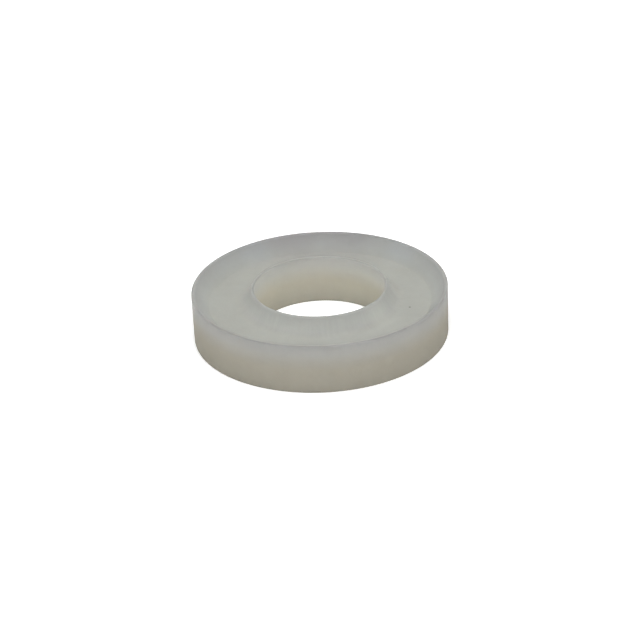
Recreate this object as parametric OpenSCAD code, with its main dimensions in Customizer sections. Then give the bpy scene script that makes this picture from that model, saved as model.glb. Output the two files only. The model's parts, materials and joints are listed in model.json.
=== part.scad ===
// Flat washer, moulded in one piece from natural nylon.
// One face is flat. The other has a channel all the way round, between a raised
// rim at the outside and a raised collar round the bore, both as high as the washer is thick.
// The flat face lies on z = 0 and the bore's axis is the Z axis. Sizes are in millimetres.

/* [Washer] */
// Outside diameter
outer_d = 25.4; // [20.5:0.1:40]
// Diameter of the bore, a clearance hole for the bolt
bore_d = 13; // [4:0.1:17]
// Thickness, from the flat face to the top of the rim and the collar
thickness = 5; // [2.5:0.1:12]

/* [Channel] */
// Depth of the channel below the top of the rim
channel_depth = 1.6; // [0.6:0.1:3]
// Width of the flat land on top of the rim, inside the outside edge's round
rim_land = 0.15; // [0.05:0.05:2]
// Angle of the rim's inner wall to the channel floor, in degrees
rim_slope = 50; // [35:1:85]
// Radius where the rim's inner wall meets the channel floor
rim_foot_radius = 0.3; // [0.05:0.05:1.5]
// Width of the flat land on top of the collar, outside the bore edge's round
collar_land = 0.15; // [0.05:0.05:2]
// Angle of the collar's outer wall to the channel floor, in degrees
collar_slope = 60; // [40:1:85]
// Radius where the collar's outer wall meets the channel floor
collar_foot_radius = 1; // [0.05:0.05:3]

/* [Edges] */
// Radius on the two outside edges
outer_edge_radius = 0.12; // [0.02:0.01:0.6]
// Radius on the two ends of the bore
bore_edge_radius = 0.1; // [0.02:0.01:0.6]

/* [Hidden] */

// Straight steps that make up each round of the section
arc_steps = 6;

outer_r = outer_d / 2;
bore_r = bore_d / 2;
floor_z = thickness - channel_depth;

// Where the channel's two walls start at the top, and where they would meet the floor
rim_top_r = outer_r - outer_edge_radius - rim_land;
rim_foot_r = rim_top_r - channel_depth / tan(rim_slope);
collar_top_r = bore_r + bore_edge_radius + collar_land;
collar_foot_r = collar_top_r + channel_depth / tan(collar_slope);

// How far each foot's round reaches along the floor
rim_reach = rim_foot_radius * tan(rim_slope / 2);
collar_reach = collar_foot_radius * tan(collar_slope / 2);

// Points of a round about a centre, from the angle start to the angle end
function round_points(centre, radius, start, end) = [
    for (i = [0:arc_steps])
        let (angle = start + (end - start) * i / arc_steps)
            centre + radius * [cos(angle), sin(angle)]
];

// Section of the washer on one side of its axis, counter-clockwise from the bore's lower end
module washer_section() {
    polygon(concat(
        round_points([bore_r + bore_edge_radius, bore_edge_radius],
            bore_edge_radius, 180, 270),
        round_points([outer_r - outer_edge_radius, outer_edge_radius],
            outer_edge_radius, -90, 0),
        round_points([outer_r - outer_edge_radius, thickness - outer_edge_radius],
            outer_edge_radius, 0, 90),
        [[rim_top_r, thickness]],
        round_points([rim_foot_r - rim_reach, floor_z + rim_foot_radius],
            rim_foot_radius, rim_slope - 90, -90),
        round_points([collar_foot_r + collar_reach, floor_z + collar_foot_radius],
            collar_foot_radius, -90, -90 - collar_slope),
        [[collar_top_r, thickness]],
        round_points([bore_r + bore_edge_radius, thickness - bore_edge_radius],
            bore_edge_radius, 90, 180)
    ));
}

// The whole washer, turned about its axis
module washer() {
    color([0.86, 0.86, 0.82])
        rotate_extrude($fn = 96) washer_section();
}

washer();
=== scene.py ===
"""Looks of the moulded nylon washer: a finely turned mesh with its small moulding marks, and its material."""
import json
import math

import bmesh
import bpy
from mathutils import Matrix, Vector, noise


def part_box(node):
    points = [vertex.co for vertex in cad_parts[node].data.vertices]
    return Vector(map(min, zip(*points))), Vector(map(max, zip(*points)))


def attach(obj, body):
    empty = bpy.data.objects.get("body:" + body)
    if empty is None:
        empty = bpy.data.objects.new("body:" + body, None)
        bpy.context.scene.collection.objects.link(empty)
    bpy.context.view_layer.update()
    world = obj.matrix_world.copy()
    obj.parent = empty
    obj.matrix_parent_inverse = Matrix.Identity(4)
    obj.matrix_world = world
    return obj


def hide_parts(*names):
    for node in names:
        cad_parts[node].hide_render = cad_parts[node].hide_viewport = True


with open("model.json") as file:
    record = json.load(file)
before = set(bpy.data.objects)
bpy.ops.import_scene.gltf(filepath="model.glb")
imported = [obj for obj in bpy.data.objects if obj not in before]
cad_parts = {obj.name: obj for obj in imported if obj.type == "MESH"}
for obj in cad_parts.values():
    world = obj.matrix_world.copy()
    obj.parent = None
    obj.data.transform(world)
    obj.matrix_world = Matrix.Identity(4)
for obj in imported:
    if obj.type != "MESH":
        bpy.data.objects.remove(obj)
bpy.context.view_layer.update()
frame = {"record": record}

MM = 0.001

# Sizes from the frame
lowest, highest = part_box("washer")
mounts = {mount["name"]: mount for mount in frame["record"]["mounts"]}
OUTER_R = highest.x
THICKNESS = highest.z
BORE_R = mounts["bore"]["dims"]["r_mm"] * MM

# Sizes of the channelled face and the edges, as in the CAD part
CHANNEL_DEPTH = 1.6 * MM
RIM_LAND = 0.15 * MM
RIM_SLOPE = 50
RIM_FOOT_RADIUS = 0.3 * MM
COLLAR_LAND = 0.15 * MM
COLLAR_SLOPE = 60
COLLAR_FOOT_RADIUS = 1.0 * MM
OUTER_EDGE_RADIUS = 0.12 * MM
BORE_EDGE_RADIUS = 0.1 * MM

FLOOR_Z = THICKNESS - CHANNEL_DEPTH
RIM_TOP_R = OUTER_R - OUTER_EDGE_RADIUS - RIM_LAND
RIM_FOOT_R = RIM_TOP_R - CHANNEL_DEPTH / math.tan(math.radians(RIM_SLOPE))
RIM_REACH = RIM_FOOT_RADIUS * math.tan(math.radians(RIM_SLOPE / 2))
COLLAR_TOP_R = BORE_R + BORE_EDGE_RADIUS + COLLAR_LAND
COLLAR_FOOT_R = COLLAR_TOP_R + CHANNEL_DEPTH / math.tan(math.radians(COLLAR_SLOPE))
COLLAR_REACH = COLLAR_FOOT_RADIUS * math.tan(math.radians(COLLAR_SLOPE / 2))

# Nylon's surface, how far light spreads inside it, and the share of that reach for red, green and blue
ROUGHNESS = 0.6
SPECULAR = 0.03
SCATTER = 8.0 * MM
SCATTER_SHARES = (1.0, 0.9, 0.8)

# Tint by height and by distance from the axis. Part of it is the nylon's own colour, and part is painted
# light and shade that the scattering leaves out.
# By height: darker towards the bottom, which is painted shade, and warmer there, as thick nylon is; painted
# light along the top edge
HEIGHT_TINTS_LIGHT_AND_SHADE = (
    (0.0 * MM, (0.315, 0.3, 0.253)),
    (2.4 * MM, (0.33, 0.315, 0.268)),
    (4.0 * MM, (0.322, 0.322, 0.304)),
    (4.8 * MM, (0.315, 0.313, 0.302)),
    (5.0 * MM, (0.343, 0.343, 0.33)),
)
# By distance from the axis: painted light on the bore's wall and the collar's top, painted shade on the rim's
# inner wall, painted light on the rim's crest, and a cooler colour over the channel's floor
RADIUS_TINTS_LIGHT_AND_SHADE = (
    (6.5 * MM, (1.16, 1.19, 1.18)),
    (6.56 * MM, (1.1, 1.13, 1.13)),
    (6.68 * MM, (1.24, 1.27, 1.27)),
    (6.85 * MM, (1.13, 1.16, 1.16)),
    (7.1 * MM, (1.08, 1.12, 1.12)),
    (7.6 * MM, (1.0, 1.04, 1.08)),
    (8.6 * MM, (0.97, 1.03, 1.08)),
    (11.0 * MM, (0.92, 0.97, 1.01)),
    (12.3 * MM, (0.93, 0.95, 0.95)),
    (12.5 * MM, (1.08, 1.08, 1.08)),
    (12.7 * MM, (0.97, 0.97, 0.97)),
)

# Mottle in the colour, large and fine: a blotch's size, how far its shade goes from 1, the height of the
# fine one's bumps, and the values between which the noise texture mostly stays
CLOUD_SIZE = 1.6 * MM
CLOUD_SPREAD = 0.016
GRAIN_SIZE = 0.35 * MM
GRAIN_SPREAD = 0.006
GRAIN_HEIGHT = 0.004 * MM
NOISE_LOW = 0.3
NOISE_HIGH = 0.7

# Streaks along the radius, and where they show by distance from the axis
STREAK_SIZE = 0.3 * MM
STREAK_SPREAD = 0.025
STREAK_MASK = (
    (6.7 * MM, 0.0),
    (7.0 * MM, 1.0),
    (7.9 * MM, 0.6),
    (8.6 * MM, 0.0),
)

# The bore's wall by distance from the axis, and its shade by height, which stands for weaker light below
BORE_MASK = (
    (6.55 * MM, 1.0),
    (6.7 * MM, 0.0),
)
BORE_SHADES = (
    (0.0 * MM, 0.8),
    (1.4 * MM, 0.92),
    (2.8 * MM, 1.0),
    (4.2 * MM, 1.01),
    (5.0 * MM, 1.08),
)

# A dark speck, then soft patches that stand mostly for uneven light:
# distance from the axis, angle in degrees, height, reach and shade
SPOTS = (
    (9.1 * MM, -15.3, 3.4 * MM, 0.14 * MM, (0.4, 0.4, 0.4)),
    (7.4 * MM, -40, 4.0 * MM, 1.9 * MM, (1.07, 1.07, 1.06)),
    (7.3 * MM, -8, 4.1 * MM, 1.0 * MM, (0.97, 0.97, 0.97)),
    (12.5 * MM, 90, 5.0 * MM, 9.0 * MM, (0.95, 0.935, 0.95)),
    (12.7 * MM, 73, 5.0 * MM, 3.6 * MM, (0.94, 0.93, 0.94)),
    (12.7 * MM, 103, 5.0 * MM, 3.6 * MM, (0.95, 0.93, 0.94)),
    (12.0 * MM, 124, 4.4 * MM, 2.4 * MM, (1.01, 1.02, 1.05)),
    (12.0 * MM, 44, 4.4 * MM, 2.4 * MM, (1.01, 1.02, 1.05)),
    (12.2 * MM, 180, 4.8 * MM, 5.0 * MM, (1.05, 1.05, 1.05)),
    (12.2 * MM, 0, 4.8 * MM, 5.0 * MM, (1.05, 1.05, 1.05)),
    (12.7 * MM, -60.6, 2.3 * MM, 0.6 * MM, (1.05, 1.05, 1.05)),
)

# A spot's reach over the distance from its middle that keeps its full shade
SPOT_CORE = 3

# Small marks left by moulding: places as angles in degrees, sizes as lengths
DRAW_DEPTH = 0.012 * MM
DRAW_PITCH = 0.35 * MM
WELD_ANGLE = 89.6
WELD_WIDTH = 0.16 * MM
WELD_DEPTH = 0.03 * MM
NICK_ANGLE = -52
NICK_WIDTH = 0.25 * MM
NICK_DEPTH = 0.06 * MM
EDGE_PITCH = 2.5 * MM
EDGE_WANDER = 0.01 * MM

# How finely the mesh is made, and how far past a whole number of steps still counts as whole
SEGMENTS = 640
STRAIGHT_STEP = 0.25 * MM
STEP_SLACK = 0.001
ROUND_STEPS = 4

# Camera: its sensor's width and its lens are in millimetres, as Blender takes them
SENSOR_WIDTH = 36
CLIP_START = 0.01
CLIP_END = 10
CAMERA_ELEVATION = 27.8
CAMERA_ROLL = -2.6
CAMERA_DISTANCE = 0.198
CAMERA_LENS = 111.2
CAMERA_AIM = Vector((-0.095 * MM, 0, 1.17 * MM))

# Light, and the floor and backdrop that the washer is shown on
SOFTBOX_ELEVATION = 75
SOFTBOX_DISTANCE = 0.6
SOFTBOX_SIZE = 0.6
SOFTBOX_POWER = 4.6
STAGE_ROUGHNESS = 0.9
FLOOR_HALF = 2.0
FLOOR_CELLS = 4
FLOOR_SHADE = 0.9
FLOOR_GLOW = 0.4
FLOOR_GAP = 0.02 * MM
BACKDROP_R = 1.4
BACKDROP_HEIGHT = 0.8
BACKDROP_SIDES = 96
BACKDROP_SHADE = 0.0
BACKDROP_GLOW = 1.0
HORIZON = 1.0
HORIZON_TOP = 0.1
SKY = 0.03


def round_points(centre_r, centre_z, radius, start, end):
    """Points of a round in the washer's section, from the angle start to the angle end, in degrees."""
    points = []
    for step in range(ROUND_STEPS + 1):
        angle = math.radians(start + (end - start) * step / ROUND_STEPS)
        points.append(Vector((centre_r + radius * math.cos(angle), centre_z + radius * math.sin(angle))))
    return points


def corners():
    """The section's outline with its rounds, counter-clockwise from the bore's lower end."""
    outer_centre = OUTER_R - OUTER_EDGE_RADIUS
    bore_centre = BORE_R + BORE_EDGE_RADIUS
    return (
        round_points(bore_centre, BORE_EDGE_RADIUS, BORE_EDGE_RADIUS, 180, 270)
        + round_points(outer_centre, OUTER_EDGE_RADIUS, OUTER_EDGE_RADIUS, -90, 0)
        + round_points(outer_centre, THICKNESS - OUTER_EDGE_RADIUS, OUTER_EDGE_RADIUS, 0, 90)
        + [Vector((RIM_TOP_R, THICKNESS))]
        + round_points(RIM_FOOT_R - RIM_REACH, FLOOR_Z + RIM_FOOT_RADIUS,
                       RIM_FOOT_RADIUS, RIM_SLOPE - 90, -90)
        + round_points(COLLAR_FOOT_R + COLLAR_REACH, FLOOR_Z + COLLAR_FOOT_RADIUS,
                       COLLAR_FOOT_RADIUS, -90, -90 - COLLAR_SLOPE)
        + [Vector((COLLAR_TOP_R, THICKNESS))]
        + round_points(bore_centre, THICKNESS - BORE_EDGE_RADIUS, BORE_EDGE_RADIUS, 90, 180)
    )


def section():
    """The outline with points no further apart than STRAIGHT_STEP."""
    points = corners()
    fine = []
    for start, end in zip(points, points[1:] + points[:1]):
        pieces = max(1, math.ceil((end - start).length / STRAIGHT_STEP - STEP_SLACK))
        fine += [start.lerp(end, piece / pieces) for piece in range(pieces)]
    return fine


def around(radius, angle, pitch):
    """Smooth noise, between -1 and 1, that changes around the axis but not along a radius."""
    circle = Vector((math.cos(angle), math.sin(angle), 0)) * radius
    return noise.noise(circle / pitch)


def bell(distance, width):
    """A smooth hump, 1 at no distance and near 0 beyond the width."""
    return math.exp(-(2 * distance / width) ** 2)


def depth_share(height):
    """0 at the channel's floor and at the face, 1 half way up."""
    share = (height - FLOOR_Z) / CHANNEL_DEPTH
    return math.sin(math.pi * min(max(share, 0), 1))


def arc(radius, angle, degrees):
    """The distance around the axis between an angle and a place given in degrees."""
    turn = (angle - math.radians(degrees) + math.pi) % (2 * math.pi) - math.pi
    return radius * turn


def marked(point, angle):
    """A point of the section turned to the angle and moved by the moulding marks."""
    radius, height = point
    wander = EDGE_WANDER * (1 + around(OUTER_R, angle, EDGE_PITCH)) / 2
    if radius > RIM_FOOT_R and height > FLOOR_Z:
        if radius < RIM_TOP_R:
            weld = bell(arc(radius, angle, WELD_ANGLE), WELD_WIDTH)
            radius += WELD_DEPTH * weld * depth_share(height)
        nick = bell(arc(radius, angle, NICK_ANGLE), NICK_WIDTH) * bell(THICKNESS - height, NICK_WIDTH)
        radius -= NICK_DEPTH * nick
        height -= wander * bell(THICKNESS - height, OUTER_EDGE_RADIUS)
    elif COLLAR_TOP_R < radius < COLLAR_FOOT_R + COLLAR_REACH:
        radius += DRAW_DEPTH * around(COLLAR_TOP_R, angle, DRAW_PITCH) * depth_share(height)
    elif radius <= COLLAR_TOP_R:
        height -= wander * bell(THICKNESS - height, BORE_EDGE_RADIUS)
    return Vector((radius * math.cos(angle), radius * math.sin(angle), height))


def turned_mesh(name):
    """The section turned about Z, with its moulding marks."""
    outline = section()
    bm = bmesh.new()
    rings = []
    for segment in range(SEGMENTS):
        angle = 2 * math.pi * segment / SEGMENTS
        rings.append([bm.verts.new(marked(point, angle)) for point in outline])
    for ring, following in zip(rings, rings[1:] + rings[:1]):
        for index in range(len(outline)):
            after = (index + 1) % len(outline)
            face = bm.faces.new((ring[index], following[index], following[after], ring[after]))
            face.smooth = True
    bmesh.ops.recalc_face_normals(bm, faces=bm.faces)
    mesh = bpy.data.meshes.new(name)
    bm.to_mesh(mesh)
    bm.free()
    return mesh


def ramp(nodes, link, value, stops):
    """A smooth ramp over a length, with stops of (length, shade or colour)."""
    last = stops[-1][0]
    first = stops[0][0]
    place = nodes.new("ShaderNodeMapRange")
    place.inputs["From Min"].default_value = first
    place.inputs["From Max"].default_value = last
    link(value, place.inputs["Value"])
    node = nodes.new("ShaderNodeValToRGB")
    elements = node.color_ramp.elements
    while len(elements) < len(stops):
        elements.new(0.5)  # its place is set below
    for element, (length, shade) in zip(elements, stops):
        element.position = (length - first) / (last - first)
        colour = shade if isinstance(shade, tuple) else (shade, shade, shade)
        element.color = (*colour, 1)
    link(place.outputs["Result"], node.inputs["Fac"])
    return node.outputs["Color"]


def multiply(nodes, link, first, second):
    """The product of two colours."""
    node = nodes.new("ShaderNodeVectorMath")
    node.operation = "MULTIPLY"
    link(first, node.inputs[0])
    link(second, node.inputs[1])
    return node.outputs["Vector"]


def blotches(nodes, link, place, size, spread):
    """Soft noise with blotches of a size, between 1 - spread and 1 + spread."""
    source = nodes.new("ShaderNodeTexNoise")
    source.inputs["Scale"].default_value = 1 / size
    link(place, source.inputs["Vector"])
    span = nodes.new("ShaderNodeMapRange")
    span.inputs["From Min"].default_value = NOISE_LOW
    span.inputs["From Max"].default_value = NOISE_HIGH
    span.inputs["To Min"].default_value = 1 - spread
    span.inputs["To Max"].default_value = 1 + spread
    link(source.outputs["Fac"], span.inputs["Value"])
    return span.outputs["Result"]


def measure(nodes, link, operation, value, other=None):
    """A vector's length, or its distance from a fixed point."""
    node = nodes.new("ShaderNodeVectorMath")
    node.operation = operation
    link(value, node.inputs[0])
    if other is not None:
        node.inputs[1].default_value = other
    return node.outputs["Value"]


def masked(nodes, link, mask, shade):
    """The shade where the mask is 1, and 1 where it is 0."""
    blend = nodes.new("ShaderNodeMix")
    blend.inputs["A"].default_value = 1.0
    link(mask, blend.inputs["Factor"])
    link(shade, blend.inputs["B"])
    return blend.outputs["Result"]


def streaks(nodes, link, flat):
    """Draw marks down the collar's wall, as noise that stays the same along a radius."""
    direction = nodes.new("ShaderNodeVectorMath")
    direction.operation = "NORMALIZE"
    link(flat, direction.inputs[0])
    return blotches(nodes, link, direction.outputs["Vector"], STREAK_SIZE / COLLAR_TOP_R, STREAK_SPREAD)


def spot(nodes, link, place, radius, degrees, height, reach, shade):
    """A soft spot: the shade at its middle, and 1 beyond its reach."""
    angle = math.radians(degrees)
    middle = Vector((radius * math.cos(angle), radius * math.sin(angle), height))
    distance = measure(nodes, link, "DISTANCE", place, middle)
    return ramp(nodes, link, distance, ((0.0, shade), (reach / SPOT_CORE, shade), (reach, 1.0)))


def nylon():
    """Natural nylon: warm where it is thick, paler and cooler at the channelled face, with painted light and
    shade in its colour.
    """
    material = bpy.data.materials.new("natural_nylon")
    material.use_nodes = True
    nodes = material.node_tree.nodes
    link = material.node_tree.links.new
    shader = nodes["Principled BSDF"]
    shader.inputs["Roughness"].default_value = ROUGHNESS
    shader.inputs["Specular IOR Level"].default_value = SPECULAR
    shader.subsurface_method = "BURLEY"
    shader.inputs["Subsurface Weight"].default_value = 1.0
    shader.inputs["Subsurface Radius"].default_value = SCATTER_SHARES
    shader.inputs["Subsurface Scale"].default_value = SCATTER
    place = nodes.new("ShaderNodeTexCoord").outputs["Object"]
    split = nodes.new("ShaderNodeSeparateXYZ")
    link(place, split.inputs[0])
    flat = nodes.new("ShaderNodeCombineXYZ")
    link(split.outputs["X"], flat.inputs["X"])
    link(split.outputs["Y"], flat.inputs["Y"])
    radius = measure(nodes, link, "LENGTH", flat.outputs["Vector"])
    grain = blotches(nodes, link, place, GRAIN_SIZE, GRAIN_SPREAD)
    colour = ramp(nodes, link, split.outputs["Z"], HEIGHT_TINTS_LIGHT_AND_SHADE)
    bore_mask = ramp(nodes, link, radius, BORE_MASK)
    bore_shade = ramp(nodes, link, split.outputs["Z"], BORE_SHADES)
    streak_mask = ramp(nodes, link, radius, STREAK_MASK)
    shades = [
        ramp(nodes, link, radius, RADIUS_TINTS_LIGHT_AND_SHADE),
        blotches(nodes, link, place, CLOUD_SIZE, CLOUD_SPREAD),
        masked(nodes, link, bore_mask, bore_shade),
        masked(nodes, link, streak_mask, streaks(nodes, link, flat.outputs["Vector"])),
        grain,
    ]
    shades += [spot(nodes, link, place, *details) for details in SPOTS]
    for shade in shades:
        colour = multiply(nodes, link, colour, shade)
    link(colour, shader.inputs["Base Color"])
    bump = nodes.new("ShaderNodeBump")
    bump.inputs["Distance"].default_value = GRAIN_HEIGHT / GRAIN_SPREAD
    link(grain, bump.inputs["Height"])
    link(bump.outputs["Normal"], shader.inputs["Normal"])
    return material


def build_washer():
    """The washer, which rides on the root body in place of the CAD solid."""
    piece = bpy.data.objects.new("washer_body", turned_mesh("washer_body"))
    bpy.context.scene.collection.objects.link(piece)
    piece.data.materials.append(nylon())
    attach(piece, "root")
    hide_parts("washer")


def staged(name, bm, base, glow):
    """A matt piece of the stage, made from a bmesh, with a grey base and a white glow."""
    mesh = bpy.data.meshes.new(name)
    bm.to_mesh(mesh)
    bm.free()
    piece = bpy.data.objects.new(name, mesh)
    bpy.context.scene.collection.objects.link(piece)
    material = bpy.data.materials.new(name)
    material.use_nodes = True
    shader = material.node_tree.nodes["Principled BSDF"]
    shader.inputs["Base Color"].default_value = (base, base, base, 1)
    shader.inputs["Roughness"].default_value = STAGE_ROUGHNESS
    shader.inputs["Emission Color"].default_value = (1, 1, 1, 1)
    shader.inputs["Emission Strength"].default_value = glow
    piece.data.materials.append(material)
    return piece


def build_floor():
    """A large pale floor, a hair below the washer so that the two surfaces stay apart."""
    bm = bmesh.new()
    bmesh.ops.create_grid(bm, x_segments=FLOOR_CELLS, y_segments=FLOOR_CELLS, size=FLOOR_HALF)
    floor = staged("floor", bm, FLOOR_SHADE, FLOOR_GLOW)
    floor.location.z = -FLOOR_GAP


def build_backdrop():
    """A round pale wall behind everything, which is seen from the side but lights nothing."""
    bm = bmesh.new()
    bmesh.ops.create_cone(
        bm, segments=BACKDROP_SIDES, radius1=BACKDROP_R, radius2=BACKDROP_R, depth=BACKDROP_HEIGHT)
    wall = staged("backdrop", bm, BACKDROP_SHADE, BACKDROP_GLOW)
    wall.location.z = BACKDROP_HEIGHT / 2 - FLOOR_GAP
    wall.visible_diffuse = False
    wall.visible_glossy = False
    wall.visible_transmission = False
    wall.visible_shadow = False


def build_light():
    """One large softbox overhead, a little to the front, and a bright horizon under a dim sky."""
    world = bpy.data.worlds.new("studio")
    bpy.context.scene.world = world
    world.use_nodes = True
    nodes = world.node_tree.nodes
    link = world.node_tree.links.new
    split = nodes.new("ShaderNodeSeparateXYZ")
    link(nodes.new("ShaderNodeTexCoord").outputs["Generated"], split.inputs[0])
    sky = ramp(nodes, link, split.outputs["Z"], ((0.0, HORIZON), (HORIZON_TOP, SKY), (1.0, SKY)))
    link(sky, nodes["Background"].inputs["Color"])
    data = bpy.data.lights.new("softbox", "AREA")
    data.size = SOFTBOX_SIZE
    data.energy = SOFTBOX_POWER
    light = bpy.data.objects.new("softbox", data)
    bpy.context.scene.collection.objects.link(light)
    tilt = math.radians(SOFTBOX_ELEVATION)
    light.location = SOFTBOX_DISTANCE * Vector((0, -math.cos(tilt), math.sin(tilt)))
    light.rotation_mode = "QUATERNION"
    light.rotation_quaternion = (-light.location).to_track_quat("-Z", "Y")


def build_camera():
    """A camera in front of the washer and above it, turned a little about its line of sight."""
    data = bpy.data.cameras.new("camera")
    data.sensor_width = SENSOR_WIDTH
    data.lens = CAMERA_LENS
    data.clip_start = CLIP_START
    data.clip_end = CLIP_END
    camera = bpy.data.objects.new("camera", data)
    bpy.context.scene.collection.objects.link(camera)
    tilt = math.radians(CAMERA_ELEVATION)
    camera.location = CAMERA_DISTANCE * Vector((0, -math.cos(tilt), math.sin(tilt)))
    aim = (CAMERA_AIM - camera.location).to_track_quat("-Z", "Y").to_matrix().to_4x4()
    turn = aim @ Matrix.Rotation(math.radians(CAMERA_ROLL), 4, "Z")
    camera.matrix_world = Matrix.Translation(camera.location) @ turn
    bpy.context.scene.camera = camera


bpy.context.scene.view_settings.view_transform = "Standard"
build_washer()
build_floor()
build_backdrop()
build_light()
build_camera()
